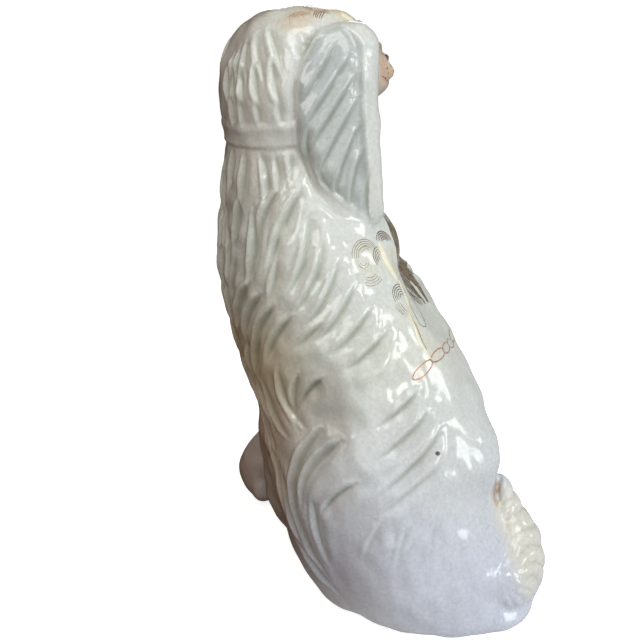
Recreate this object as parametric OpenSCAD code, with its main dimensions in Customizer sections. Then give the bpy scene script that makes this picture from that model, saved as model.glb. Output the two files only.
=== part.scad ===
// Seated spaniel mantel figurine: a hollow press-moulded earthenware dog.
// +Z is up, the dog's chest points to +X and its face looks to -Y, the side that is displayed.
// The origin is on the floor, at the centre of the outline. Lengths are in millimetres.

/* [Overall] */
// Height from the foot to the top of the head
height = 320; // [160:5:380]
// Thickness of the pressed clay wall
wall = 4.5; // [3.5:0.5:6]
// Thickness of the slab that closes the underside
slab_t = 6; // [4:1:10]

/* [Joins] */
// Plane between the back and the front halves of the mould
seam_y = -8; // [-12:1:4]
// Height of the join between the body and the head
neck_z = 257; // [254:1:259]
// Depth of the clay roll that lines a seam on the inside
roll_t = 4; // [3:0.5:6]
// Half width of the clay roll that lines a seam on the inside
roll_w = 5; // [4:0.5:8]

/* [Details] */
// Height of the lip between the join and the collar band
neck_lip = 2; // [1.5:0.5:4]
// Height of the collar band
collar_h = 10; // [8:1:14]
// Depth of the groove the collar band lies in
collar_groove = 2.5; // [2:0.1:2.8]
// How far the face of the collar band lies below the fur
collar_sink = 0.8; // [0.4:0.1:1.4]
// Radius of the firing vent in the back
vent_r = 1.2; // [0.8:0.1:2.5]

/* [Quality] */
// Sides of each loft section
segs = 40; // [32:4:64]
// Spans between two rows of a section table
steps = 3; // [2:1:4]
// Sides of the rounded forms
round_sides = 28; // [20:4:40]

/* [Hidden] */
// Height the section tables are drawn for
drawn_height = 320;
// Size of the figure against the drawn one
size = height / drawn_height;
// Thicknesses in drawn units
wall_d = wall / size;
slab_d = slab_t / size;
roll_d = roll_t / size;
vent_d = vent_r / size;
// Firing vent, on the spine above the tail
vent_at = [-89, -32, 109];
// Middle of the drawn outline, brought to the origin
middle_x = -1;
middle_y = -17;
// Height where the side of the skull turns into its crown
crown_z = 297;
// Larger than the figure in every direction
big = 500;
white = [0.90, 0.91, 0.88];
clay = [0.80, 0.74, 0.64];
bronze = [0.55, 0.38, 0.24];
// Rows: height, rear x, chest x, display-side y, back-side y, squareness
trunk_rows = [
    [0, -105, 70, -80, 20, 2.7],
    [7, -113, 77, -86, 31, 2.7],
    [28, -114, 78, -81, 44, 2.6],
    [58, -106, 76, -73, 50, 2.5],
    [92, -95, 76, -72, 50, 2.3],
    [126, -81, 79, -74, 51, 2.2],
    [160, -67, 82, -65, 54, 2.2],
    [195, -53, 81, -43, 54, 2.2],
    [225, -42, 71, -36, 47, 2.2],
    [262, -32, 56, -34, 39, 2.2],
];
skull_rows = [
    [240, -28, 52, -31, 34, 2.2],
    [256, -32, 56, -34, 38, 2.3],
    [278, -35, 57, -37, 40, 2.4],
    [297, -34, 55, -39, 37, 2.5],
    [310, -29, 50, -38, 31, 2.5],
    [317, -20, 40, -31, 21, 2.3],
    [320, -5, 26, -15, 8, 2],
];
// Balls along the tail: x, y, z, radius
tail_balls = [
    [-96, -50, 20, 22],
    [-92, -60, 23, 20],
    [-87, -64, 31, 18],
    [-81, -62, 43, 14.5],
    [-76, -60, 54, 11],
    [-72, -58, 64, 7],
];

// Catmull-Rom value between p1 and p2
function spline(p0, p1, p2, p3, t) =
    0.5 * (2 * p1 + (p2 - p0) * t + (2 * p0 - 5 * p1 + 4 * p2 - p3) * t * t
        + (3 * p1 - p0 - 3 * p2 + p3) * t * t * t);
// Row of a table at the fractional place u
function row_at(rows, u) =
    let (last = len(rows) - 1, i = min(floor(u), last - 1))
    spline(rows[max(i - 1, 0)], rows[i], rows[i + 1], rows[min(i + 2, last)], u - i);
// Signed power, for superellipses
function spow(v, e) = sign(v) * pow(abs(v), e);
// Points of one level section, set in by t; above crown_z it is also set down
function section(row, t) =
    let (
        cx = (row[1] + row[2]) / 2,
        cy = (row[3] + row[4]) / 2,
        rx = max((row[2] - row[1]) / 2 - t, 0.5),
        ry = max((row[4] - row[3]) / 2 - t, 0.5),
        z = row[0] - t * max(row[0] - crown_z, 0) / (drawn_height - crown_z)
    )
    [for (k = [0 : segs - 1])
        let (a = 360 * k / segs)
        [cx + rx * spow(cos(a), 2 / row[5]), cy + ry * spow(sin(a), 2 / row[5]), z]];

// Solid between two sections
module span(a, b) {
    points = concat(a, b);
    hull()
        polyhedron(points, [[for (i = [0 : len(points) - 1]) i]]);
}
// Solid lofted through the rows of a table, set in by t
module loft(rows, t) {
    last = (len(rows) - 1) * steps;
    for (i = [0 : last - 1])
        span(section(row_at(rows, i / steps), t), section(row_at(rows, (i + 1) / steps), t));
}
module ellipsoid(centre, radii) {
    translate(centre)
        scale(radii)
            sphere(1, $fn = round_sides);
}
module ball(b) {
    translate([b[0], b[1], b[2]])
        sphere(b[3], $fn = round_sides);
}
// Level layer from z0 to z1
module layer(z0, z1) {
    translate([-big, -big, z0])
        cube([2 * big, 2 * big, z1 - z0]);
}
// Everything on the back side of the seam
module back_side() {
    translate([-big, seam_y, -big])
        cube([2 * big, big, 2 * big]);
}
// Everything on the display side of the seam
module front_side() {
    translate([-big, seam_y - big, -big])
        cube([2 * big, big, 2 * big]);
}
// Strip along the seam, as wide as the clay roll
module seam_strip() {
    translate([-big, seam_y - roll_w, -big])
        cube([2 * big, 2 * roll_w, 2 * big]);
}
// Brings the drawn form to its size and its place on the floor
module placed() {
    scale(size)
        translate([-middle_x, -middle_y, 0])
            children();
}

// Trunk and both haunches, set in by t
module body_form(t) {
    loft(trunk_rows, t);
    ellipsoid([-46, -20, 66], [54 - t, 51 - t, 78 - t]);
    ellipsoid([-42, 2, 62], [56 - t, 51 - t, 82 - t]);
}
// Skull down into the collar, set in by t
module head_form(t) {
    loft(skull_rows, t);
}
// Layer of the neck that the collar takes up
module collar_layer() {
    layer(neck_z + neck_lip, neck_z + neck_lip + collar_h);
}
// The head with the collar groove cut in
module grooved_head() {
    difference() {
        head_form(0);
        difference() {
            collar_layer();
            head_form(collar_groove);
        }
    }
}
module foreleg_form(y, foot_y) {
    hull() {
        ellipsoid([58, y, 116], [21, 18, 26]);
        ellipsoid([80, foot_y, 28], [17, 16, 18]);
    }
    hull() {
        ellipsoid([84, foot_y, 21], [18, 18, 22]);
        ellipsoid([98, foot_y, 12], [18, 17, 14]);
    }
}
module ear_form(x) {
    hull() {
        ellipsoid([x + 2, -13, 304], [6, 19, 8]);
        ellipsoid([x - 2, -7, 260], [8, 23, 30]);
        ellipsoid([x - 2, -9, 217], [6, 13, 12]);
    }
}
module tail_form() {
    for (i = [0 : len(tail_balls) - 2])
        hull() {
            ball(tail_balls[i]);
            ball(tail_balls[i + 1]);
        }
}
// Clay roll that lines the body seam, between the wall and the same form set in further
module body_roll() {
    difference() {
        intersection() {
            body_form(wall_d);
            seam_strip();
            layer(slab_d, neck_z);
        }
        body_form(wall_d + roll_d);
    }
}
module head_roll() {
    difference() {
        intersection() {
            head_form(wall_d);
            seam_strip();
            layer(neck_z, drawn_height);
        }
        head_form(wall_d + roll_d);
    }
}

module back_body_shell() {
    color(white)
        placed()
            difference() {
                intersection() {
                    body_form(0);
                    back_side();
                    layer(0, neck_z);
                }
                body_form(wall_d);
            }
}
module front_body_shell() {
    color(white)
        placed()
            difference() {
                intersection() {
                    body_form(0);
                    front_side();
                    layer(0, neck_z);
                }
                body_form(wall_d);
                translate(vent_at)
                    rotate([0, -62, 20])
                        cylinder(h = 4 * wall_d, r = vent_d, center = true, $fn = 16);
            }
}
module back_head_shell() {
    color(white)
        placed()
            difference() {
                intersection() {
                    grooved_head();
                    back_side();
                    layer(neck_z, drawn_height);
                }
                head_form(wall_d);
            }
}
module face_shell() {
    color(white)
        placed()
            difference() {
                intersection() {
                    grooved_head();
                    front_side();
                    layer(neck_z, drawn_height);
                }
                head_form(wall_d);
            }
}
module muzzle() {
    color(white)
        placed()
            difference() {
                hull() {
                    ellipsoid([12, -32, 288], [21, 12, 17]);
                    ellipsoid([12, -44, 284], [15, 12, 14]);
                }
                head_form(0);
            }
}
module right_ear() {
    color(white)
        placed()
            difference() {
                ear_form(-31);
                head_form(0);
                body_form(0);
            }
}
module left_ear() {
    color(white)
        placed()
            difference() {
                ear_form(55);
                head_form(0);
                body_form(0);
            }
}
module collar() {
    color(bronze)
        placed()
            difference() {
                intersection() {
                    head_form(collar_sink);
                    collar_layer();
                }
                head_form(collar_groove);
            }
}
module locket() {
    color(bronze)
        placed()
            difference() {
                ellipsoid([12, -38, 249], [8, 6, 9]);
                head_form(0);
                body_form(0);
            }
}
module left_foreleg() {
    color(white)
        placed()
            difference() {
                intersection() {
                    foreleg_form(22, 31);
                    layer(0, neck_z);
                }
                body_form(0);
            }
}
module right_foreleg() {
    color(white)
        placed()
            difference() {
                intersection() {
                    foreleg_form(-34, -44);
                    layer(0, neck_z);
                }
                body_form(0);
            }
}
module hind_paw() {
    color(white)
        placed()
            difference() {
                intersection() {
                    hull() {
                        ellipsoid([-4, -76, 12], [20, 13, 13]);
                        ellipsoid([32, -76, 9], [18, 13, 11]);
                    }
                    layer(0, neck_z);
                }
                body_form(0);
            }
}
module tail() {
    color(white)
        placed()
            difference() {
                intersection() {
                    tail_form();
                    layer(0, neck_z);
                }
                body_form(0);
            }
}
module base_slab() {
    color(clay)
        placed()
            intersection() {
                body_form(wall_d);
                layer(0, slab_d);
            }
}
module back_seam_roll() {
    color(clay)
        placed()
            intersection() {
                body_roll();
                translate([-big, -big, -big])
                    cube([big, 2 * big, 2 * big]);
            }
}
module chest_seam_roll() {
    color(clay)
        placed()
            difference() {
                body_roll();
                translate([-big, -big, -big])
                    cube([big, 2 * big, 2 * big]);
            }
}
module head_seam_roll() {
    color(clay)
        placed()
            head_roll();
}

back_body_shell();
front_body_shell();
back_head_shell();
face_shell();
muzzle();
right_ear();
left_ear();
collar();
locket();
left_foreleg();
right_foreleg();
hind_paw();
tail();
base_slab();
back_seam_roll();
chest_seam_roll();
head_seam_roll();
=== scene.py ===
from math import cos, dist, pi, radians, sin
import bmesh
import bpy
import numpy as np
from mathutils import Matrix, Vector
from mathutils.bvhtree import BVHTree


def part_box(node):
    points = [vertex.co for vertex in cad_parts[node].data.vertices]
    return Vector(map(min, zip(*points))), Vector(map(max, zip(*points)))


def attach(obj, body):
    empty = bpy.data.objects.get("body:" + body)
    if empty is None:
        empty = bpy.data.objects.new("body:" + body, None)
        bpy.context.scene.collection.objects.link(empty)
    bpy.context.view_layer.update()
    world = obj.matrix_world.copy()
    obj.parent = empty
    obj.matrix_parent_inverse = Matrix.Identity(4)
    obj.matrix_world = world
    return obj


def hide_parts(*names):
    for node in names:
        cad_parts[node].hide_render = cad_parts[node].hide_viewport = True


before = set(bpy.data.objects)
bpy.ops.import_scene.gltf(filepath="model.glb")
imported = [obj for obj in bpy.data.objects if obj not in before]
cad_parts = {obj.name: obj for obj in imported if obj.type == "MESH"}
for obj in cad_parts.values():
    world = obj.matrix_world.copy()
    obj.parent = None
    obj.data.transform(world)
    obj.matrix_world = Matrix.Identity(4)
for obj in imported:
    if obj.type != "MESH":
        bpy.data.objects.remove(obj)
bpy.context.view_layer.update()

# A seated spaniel of glazed earthenware. Tables and sizes are in millimetres, meshes are in metres.
WARE, METAL = "glazed_white_ware", "gilt_locket"  # material slot names
MM = 0.001
rng = np.random.default_rng(7)

# Voxel size and smoothing steps of each remeshed form
TRUNK_GRAIN = (2.5, 20)
HOLLOW_GRAIN = (3.5, 6)
BODY_GRAIN = (2.0, 45)
JOINED_GRAIN = (1.5, 4)
SPRIG_GRAIN = (1.2, 6)
LIMB_GRAIN = (2.0, 4)
SKIN_GRAIN = (1.05, 5)
WALL = 5.2  # thickness of the pressed wall
WIDE, TALL, BELOW = 200, 400, -50  # beyond the figure on every side


def span(node):
    """Lowest and highest corner of a CAD node, in mm."""
    return [np.array(corner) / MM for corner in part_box(node)]


SEAM_Y = span("front_body_shell")[1][1]  # plane between the back and the front mould halves
NECK_Z = span("back_body_shell")[1][2]  # join between the body and the head
COLLAR = (span("collar")[0][2], span("collar")[1][2])
SKULL_X = (span("back_head_shell")[0][0] + span("back_head_shell")[1][0]) / 2


# ---- mesh helpers
def add(name, data):
    ob = bpy.data.objects.new(name, data)
    bpy.context.scene.collection.objects.link(ob)
    return ob


def make(name, verts, faces):
    me = bpy.data.meshes.new(name)
    me.from_pydata([tuple(v) for v in verts], [], [tuple(f) for f in faces])
    me.update()
    return add(name, me)


def read(items, key, width=3, kind=np.float32):
    """One property of all the items of a mesh collection, a row for each."""
    values = np.empty(len(items) * width, kind)
    items.foreach_get(key, values)
    return values.reshape(-1, width)


def coords(me):
    return read(me.vertices, "co").astype(float)


def normals(me):
    return read(me.vertex_normals, "vector").astype(float)


def tris(me):
    me.calc_loop_triangles()
    return read(me.loop_triangles, "vertices", kind=np.int32)


def edges(me):
    return read(me.edges, "vertices", 2, np.int32)


def put(me, co):
    me.vertices.foreach_set("co", co.astype(np.float32).ravel())
    me.update()


def joined(nodes, *extra):
    """One mesh of CAD nodes and other objects."""
    vs, fs, n = [], [], 0
    for me in [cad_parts[name].data for name in nodes] + [o.data for o in extra]:
        vs.append(coords(me))
        fs.append(tris(me) + n)
        n += len(vs[-1])
    return make("work", np.vstack(vs), np.vstack(fs))


def baked(ob, *mods):
    """ob's mesh with these modifiers applied; each is (type, {settings})."""
    for kind, settings in mods:
        m = ob.modifiers.new(kind, kind)
        for k, v in settings.items():
            setattr(m, k, v)
    deps = bpy.context.evaluated_depsgraph_get()
    me = bpy.data.meshes.new_from_object(ob.evaluated_get(deps))
    ob.modifiers.clear()
    old = ob.data
    ob.data = me
    bpy.data.meshes.remove(old)
    return ob


def remeshed(ob, size, smooth):
    baked(ob, ("REMESH", dict(mode="VOXEL", voxel_size=size * MM)))
    return baked(ob, ("SMOOTH", dict(factor=0.5, iterations=smooth)))


def islands(me):
    """A label for each point, the same all over a connected piece."""
    e = edges(me)
    lab = np.arange(len(me.vertices))
    while True:
        m = np.minimum(lab[e[:, 0]], lab[e[:, 1]])
        new = lab.copy()
        np.minimum.at(new, e[:, 0], m)
        np.minimum.at(new, e[:, 1], m)
        new = new[new]
        if (new == lab).all():
            return lab
        lab = new


def cut(ob, other, op):
    return baked(ob, ("BOOLEAN", dict(operation=op, solver="MANIFOLD", object=other)))


def dup(ob, name):
    return add(name, ob.data.copy())


def drop(ob):
    me = ob.data
    bpy.data.objects.remove(ob)
    bpy.data.meshes.remove(me)


def block(lo, hi):
    x, y, z = zip(lo, hi)
    v = [(a * MM, b * MM, c * MM) for a in x for b in y for c in z]
    f = [(0, 1, 3, 2), (4, 6, 7, 5), (0, 4, 5, 1), (2, 3, 7, 6), (0, 2, 6, 4), (1, 5, 7, 3)]
    return make("block", v, f)


def tube(rows, around, start=0):
    """Faces of a closed tube whose rows of `around` points are numbered from `start`."""
    def at(i, j):
        return start + i * around + j % around

    sides = [(at(i, j), at(i, j + 1), at(i + 1, j + 1), at(i + 1, j))
             for i in range(rows - 1) for j in range(around)]
    foot = tuple(at(0, j) for j in range(around))
    return sides + [foot[::-1], tuple(at(rows - 1, j) for j in range(around))]


def closed(ob):
    """Outward normals and smooth shading for a mesh of closed forms."""
    bm = bmesh.new()
    bm.from_mesh(ob.data)
    bmesh.ops.recalc_face_normals(bm, faces=bm.faces)
    bm.to_mesh(ob.data)
    bm.free()
    ob.data.polygons.foreach_set("use_smooth", [True] * len(ob.data.polygons))
    return ob


def smoothstep(a, b, x):
    t = np.clip((x - a) / (b - a), 0, 1)
    return t * t * (3 - 2 * t)


def circle(n):
    """Angles of n points round a circle."""
    return np.linspace(0, 2 * pi, n, endpoint=False)


def hill(d, at, reach):
    """A smooth hill of height 1 at a distance, fading over its reach."""
    return np.exp(-((d - at) / reach) ** 2)


def brush(co, at, radii, push):
    """Moves the points near `at` by `push`, fading out over `radii` (mm)."""
    d = np.sqrt((((co - np.array(at) * MM) / (np.array(radii) * MM)) ** 2).sum(1))
    w = 1 - smoothstep(0, 1, d)
    return co + w[:, None] * np.array(push) * MM


# ---- the base form
SHELLS = ["back_body_shell", "front_body_shell", "back_head_shell", "face_shell", "collar", "base_slab"]
LIMBS = ["left_foreleg", "right_foreleg", "hind_paw"]
# Pushes that bring the plain form to the modelled one: place, reach, push (mm)
PUSHES = [
    ((-30, -55, 186), (60, 45, 38), (4, 9, 0)),  # slimmer under the right ear
    ((-20, -32, 182), (50, 36, 30), (3, 6, -2)),
    ((-50, -36, 166), (42, 34, 34), (3, 5, 0)),
    ((-60, -58, 112), (45, 30, 36), (-4, -5, 0)),  # fuller display haunch
    ((-90, -42, 92), (34, 34, 32), (-6, -7, 0)),
    ((-12, -38, 216), (28, 26, 22), (-3, -5, 0)),
    ((-16, -38, 174), (30, 28, 22), (3, 7, 0)),
    ((-45, -48, 150), (30, 28, 22), (2.5, 3.5, 0)),
    ((-30, -70, 62), (46, 30, 48), (0, -5, 0)),
    ((85, 55, 25), (40, 25, 40), (0, 6, -4)),  # heel of the left forepaw stands out
    ((70, 62, 84), (50, 32, 46), (0, -15, 0)),  # and its leg is tucked in
    ((78, 64, 66), (42, 30, 30), (0, -14, -2)),
    ((8, 68, 40), (34, 22, 28), (0, 4.5, 0)),
    ((62, 52, 6), (34, 26, 20), (-9, 5, 0)),
    ((48, 54, 14), (34, 26, 34), (0, 9, 0)),
    ((15, 66, 104), (50, 24, 26), (0, -4, 0)),  # waist of the back side
    ((5, 70, 208), (60, 26, 42), (0, -2.2, 0)),
    ((4, 28, 321), (48, 30, 20), (0, 0, 5)),
    ((-6, -2, 322), (40, 30, 18), (0, 0, 3.5)),  # fuller crown, rounded towards the nape
    ((0, 58, 313), (56, 18, 18), (0, -4, -2)),
    ((-95, -40, 20), (50, 45, 40), (-3, -4, 0)),  # fuller at the root of the tail
    ((-110, -14, 2), (30, 34, 20), (-7, -1, 0)),
    ((-88, -54, 2), (30, 30, 22), (-3, -6, 0)),
    ((-113, -54, 8), (22, 22, 20), (3, 2.5, 0)),
    ((-75, 42, 8), (45, 30, 22), (-1, 1.5, 0)),
    ((-60, 50, 120), (25, 30, 40), (4, -5, 0)),  # valley in front of the back haunch
    ((34, -66, 74), (30, 24, 62), (0, 9, 0)),  # hollow between the display haunch and the foreleg
    ((78, -6, 60), (26, 16, 60), (-7, 0, 0)),  # hollow between the forelegs
    ((-22, -20, 198), (32, 26, 20), (-2, -5.5, 0)),  # fuller shoulder under the right ear
    ((-38, -40, 160), (40, 30, 34), (1.5, 5, 0)),  # flatter flank
    ((-62, -46, 136), (34, 26, 26), (1.5, 4.2, 0)),
    ((-16, -50, 150), (44, 28, 36), (1, 4, 0)),
    ((-44, -50, 126), (34, 26, 26), (1, 3, 0)),
    ((-108, -32, 2), (30, 30, 14), (-6, -3.5, 0)),  # edge that the figure stands on
    ((78, 60, 51), (34, 26, 22), (0, -6, -2)),
    ((13, -28, 277), (16, 16, 10), (0, -5, -4)),  # chin
    ((13, -32, 300), (17, 16, 10), (0, -6, 2)),  # full bridge of the muzzle
    ((13, -26, 309), (14, 12, 6), (0, 2.5, 0)),  # stop between the brows and the muzzle
]


def pushed(ob):
    co = coords(ob.data)
    for at, reach, push in PUSHES:
        co = brush(co, at, reach, push)
    put(ob.data, co)
    return ob


def grown(ob, name, mm):
    """A copy of ob with its surface moved out by mm."""
    new = dup(ob, name)
    put(new.data, coords(new.data) + normals(new.data) * mm * MM)
    return new


trunk = pushed(remeshed(joined(SHELLS), *TRUNK_GRAIN))  # body and head without limbs
hollow = remeshed(grown(trunk, "hollow", -WALL), *HOLLOW_GRAIN)  # the space inside the pressed wall
body = remeshed(pushed(remeshed(joined(SHELLS + LIMBS), *BODY_GRAIN)), *JOINED_GRAIN)


# ---- ears
def spline(rows, k):
    """k rows through the given ones, on a Catmull-Rom curve."""
    rows = np.array(rows, float)
    p = np.vstack([2 * rows[0] - rows[1], rows, 2 * rows[-1] - rows[-2]])
    t = np.linspace(0, len(rows) - 1 - 1e-6, k)
    i, f = t.astype(int), (t % 1)[:, None]
    a, b, c, d = p[i], p[i + 1], p[i + 2], p[i + 3]
    turn = (2 * a - 5 * b + 4 * c - d) * f ** 2
    return 0.5 * (2 * b + (c - a) * f + turn + (3 * b - a - 3 * c + d) * f ** 3)


# Height, front edge, rear edge, outer face (x of the right ear)
EAR_ROWS = [
    (314, -8, 8, -25), (311, -15, 17, -30), (303, -19, 25, -36), (290, -17, 31, -39), (272, -15, 33, -40),
    (255, -14, 32, -41), (240, -13, 28, -41.5), (228, -12, 21, -41), (219, -11, 12, -40), (213, -8, 3, -37)]
EAR_ROOT = -20  # x where the ear is buried in the head
EAR_GRID = (60, 64)  # rows down an ear, points round it
BAND = 12.5  # width of the smooth band along the front edge of an ear
CREST, SLOPE, GROOVE = 0.9, 2.6, 1.1  # relief of the band: its crest, the fall in front, the groove behind


def ear_mesh(side):
    """A flat lobe; side -1 is the right ear, 1 the left one, mirrored about the middle of the skull."""
    down, around = EAR_GRID
    t = np.linspace(0, 1, around)
    lobe = (1 - np.abs(2 * t - 1) ** 5) ** (1 / 3)
    verts = []
    for z, front, rear, out in spline(EAR_ROWS, down):
        share = min(0.5, BAND / (rear - front))
        crest = CREST * hill(t, share, 0.035) - SLOPE * np.clip(1 - t / share, 0, 1) ** 1.5
        crest = crest - GROOVE * hill(t - share, 0.09, 0.05)
        y = front + (rear - front) * t
        x = EAR_ROOT + (out - EAR_ROOT - crest) * lobe
        if side > 0:
            x = 2 * SKULL_X - x
        verts += [(a * MM, b * MM, z * MM) for a, b in zip(x, y)]
    faces = tube(down, around)
    return make("ear", verts, faces if side < 0 else [f[::-1] for f in faces])


def tail_mesh():
    """The tail, drawn in at its root and at its tip."""
    ob = remeshed(joined(["tail"]), *SPRIG_GRAIN)
    co = brush(coords(ob.data), (-95, -45, 35), (50, 50, 40), (2, 2, 0))
    put(ob.data, brush(co, (-84, -42, 66), (22, 26, 22), (0, -4, 3)))
    return ob


ears = {"right_ear": ear_mesh(-1), "left_ear": ear_mesh(1)}
tail, muzzle = tail_mesh(), remeshed(joined(["muzzle"]), *SPRIG_GRAIN)
skin = remeshed(joined([], body, *ears.values(), tail, muzzle), *SKIN_GRAIN)


def tree(me):
    return BVHTree.FromPolygons([Vector(v) for v in coords(me)], tris(me).tolist())


def axis_at(z):
    """Middle of the trunk at height z, in mm."""
    return np.array([np.interp(z, [0, 100, 160, 225, 320], [-16, -7, 8, 15, 12]),
                     np.interp(z, [0, 100, 160, 225, 320], [-13, 6, 11, 22, 18])])


def skin_at(bvh, angle, z):
    """Point and normal seen from outside at an angle about the trunk (0 = chest, 90 = back side)."""
    a = radians(angle)
    c, d = axis_at(z), Vector((cos(a), sin(a), 0))
    at = Vector((c[0], c[1], z)) * MM + d * 0.3
    return bvh.ray_cast(at, -d)[:2]


STEP = 2.0  # between two points of a lock


def run(bvh, p, n, length, lean0, lean1):
    """Points and normals along a lock: down the surface, leaning left (+) or right (-) of down."""
    k = max(3, int(round(length / STEP)))
    pts, nos = [p], [n]
    for i in range(k):
        t = (i + 0.5) / k
        lean = radians(lean0 + (lean1 - lean0) * t)
        down = (Vector((0, 0, -1)) + n * n.z).normalized()
        side = down.cross(n)
        p = p + (down * cos(lean) + side * sin(lean)) * (length / k) * MM
        near = bvh.find_nearest(p)
        if near[0] is None:
            break
        p, n = near[0], near[1]
        pts.append(p)
        nos.append(n)
    return np.array(pts), np.array(nos)


# Profile of a lock in its own widths: how far its groove reaches on the steep side, on the soft side and
# where the glaze pools and is darkened as painted shade, and the height, place and reach of the roll beside
# it
STEEP_REACH, SOFT_REACH, POOL_AND_SHADE_REACH = 0.62, 1.5, 0.55
STEEP_ROLL, SOFT_ROLL = (0.55, 1.25, 0.85), (0.30, 3.4, 1.6)


def roll_beside(d, w, height, place, reach):
    return height * hill(d, place * w, reach * w)


def carve(co, locks):
    """How far the locks press each point in and raise it (mm), and how deep the glaze pools there, which also
    sets the painted shade in the grooves.

    Every lock is a tapered groove with a soft and a steep side, and a roll beside each.
    """
    low, high, pool_and_shade = np.zeros(len(co)), np.zeros(len(co)), np.zeros(len(co))
    for pts, nos, depth, width, steep in locks:
        pad = 6 * width * MM
        near = np.where(((co > pts.min(0) - pad) & (co < pts.max(0) + pad)).all(1))[0]
        if not len(near):
            continue
        v = co[near]
        a, ab = pts[:-1], np.diff(pts, axis=0)
        t = np.clip(((v[:, None] - a) * ab).sum(2) / (ab * ab).sum(1), 0, 1)
        q = a + t[..., None] * ab
        d = np.linalg.norm(v[:, None] - q, axis=2)
        j = d.argmin(1)
        r = np.arange(len(v))
        s = (j + t[r, j]) / len(ab)
        out = np.cross(ab[j], nos[j])
        side = np.sign(((v - q[r, j]) * out).sum(1)) * steep
        d = d[r, j] / MM
        along = np.sin(pi * np.clip(s, 0.02, 0.98) ** 0.8) ** 0.75
        w = width * (0.5 + 0.5 * along)
        steep_side = side > 0
        soft_groove = np.exp(-(d / (SOFT_REACH * w)) ** 1.5)
        groove = np.where(steep_side, np.exp(-(d / (STEEP_REACH * w)) ** 2), soft_groove)
        roll = np.where(steep_side, roll_beside(d, w, *STEEP_ROLL), roll_beside(d, w, *SOFT_ROLL))
        line = np.exp(-(d / (POOL_AND_SHADE_REACH * w)) ** 2)
        low[near] = np.minimum(low[near], -depth * along * groove)
        high[near] = np.maximum(high[near], depth * along * roll)
        pool_and_shade[near] = np.maximum(pool_and_shade[near], depth / 2 * along * line)
    return low, high, pool_and_shade


# ---- fur
# Tiers of locks: first and last lock as (angle about the trunk, height), how many, their lengths,
# leans of the first and of the last lock at their start and end, depth (mm, degrees).
# A positive lean goes to the left as seen from outside.
TIERS = [
    # nape
    ((105, 304), (150, 316), 5, (16, 25), (-16, -14), (-26, -10), 1.5),
    ((102, 300), (156, 304), 5, (16, 24), (2, -8), (16, -28), 1.6),
    ((112, 286), (156, 282), 4, (15, 10), (0, 14), (-6, 8), 1.2),
    # below the collar
    ((100, 256), (122, 256), 2, (17, 22), (6, 14), (-6, 22), 1.6),
    ((140, 255), (161, 255), 3, (21, 11), (-28, 20), (-6, 16), 1.6),
    # shoulder
    ((116, 231), (133, 227), 2, (20, 32), (14, 20), (-12, 20), 2.1),
    ((152, 238), (167, 238), 2, (27, 40), (44, 6), (42, 8), 2.0),
    ((168, 224), (184, 163), 6, (36, 24), (2, 44), (54, 66), 2.0),
    ((88, 224), (107, 199), 3, (26, 24), (-10, -20), (20, 30), 1.5),
    ((146, 205), (159, 173), 2, (18, 18), (8, 22), (48, 56), 1.4),
    # loins
    ((123, 190), (146, 176), 4, (32, 28), (54, 20), (48, 24), 2.1),
    ((106, 153), (127, 167), 2, (34, 32), (24, -30), (42, 8), 1.9),
    ((131, 146), (152, 144), 3, (29, 22), (4, -52), (54, 26), 2.0),
    # ripples towards the far side of the waist
    ((86, 140), (113, 134), 4, (22, 28), (0, -44), (-10, -68), 1.6),
    ((84, 112), (100, 112), 3, (22, 27), (-16, -48), (-22, -50), 1.4),
    # haunch
    ((144, 115), (154, 114), 2, (46, 40), (38, -22), (54, -8), 2.3),
    ((138, 84), (156, 95), 2, (31, 24), (0, -16), (68, 22), 1.6),
    ((100, 92), (127, 93), 3, (34, 52), (-60, -28), (0, -44), 2.2),
    ((188, 132), (191, 113), 3, (22, 36), (56, 70), (46, 66), 1.7),
    ((187, 97), (187, 97), 1, (32, 32), (64, 60), (64, 60), 0.9),
    ((160, 74), (177, 69), 3, (18, 16), (32, 26), (20, 22), 0.8),
    ((122, 50), (122, 50), 1, (30, 30), (-44, -30), (-44, -30), 1.3),
]


def tier_locks(tier):
    (a0, z0), (a1, z1), count, lengths, first, last, depth = tier
    for i in range(count):
        f = i / max(1, count - 1)
        yield (a0 + (a1 - a0) * f, z0 + (z1 - z0) * f, lengths[0] + (lengths[1] - lengths[0]) * f,
               first[0] + (last[0] - first[0]) * f, first[1] + (last[1] - first[1]) * f, depth)


BACK_FUR = [lock for tier in TIERS for lock in tier_locks(tier)]
# The lower display side carries the same coat, mirrored; wavy locks fall down the chest.
DISPLAY_FUR = [(360 - a, z - 4, l, -p, -q, d * 0.9) for a, z, l, p, q, d in BACK_FUR if z < 96 and a < 140]
CHEST_FUR = [(k * 15 - 70 + 7 * (row % 2), z, 27 - row, 16 * (-1) ** k, -16 * (-1) ** k, 1.7)
             for row, z in enumerate((248, 226, 204, 182, 160, 138)) for k in range(11)]
# Ribs and belly of the display side, from under the right ear to the foreleg
RIB_TIERS = [
    ((268, 232), (288, 226), 4, (28, 26), (-24, -4), (-10, 14), 1.6),
    ((270, 204), (292, 200), 4, (30, 26), (-34, -8), (-8, 18), 1.7),
    ((270, 172), (294, 170), 5, (32, 26), (-44, -4), (-14, 20), 1.7),
    ((274, 140), (296, 140), 4, (32, 26), (-48, 2), (-18, 24), 1.6),
    ((276, 110), (294, 108), 3, (30, 24), (-40, 10), (-16, 26), 1.3),
]
RIB_FUR = [lock for tier in RIB_TIERS for lock in tier_locks(tier)]
# Lines that are pressed into the clay: points to follow, depth, width
PAW_LINES = [([(118, y + d, 2), (112, y + d, 16), (100, y + d * 0.8, 26)], 1.7, 1.5)
             for y in (48, -27) for d in (-7, 0.5, 8)]
PAW_LINES += [([(56 - abs(d) * 0.4, -70 + d, 3), (46, -69 + d * 0.8, 16), (34, -66 + d * 0.6, 22)], 1.4, 1.4)
              for d in (-6, 1, 8)]
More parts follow.
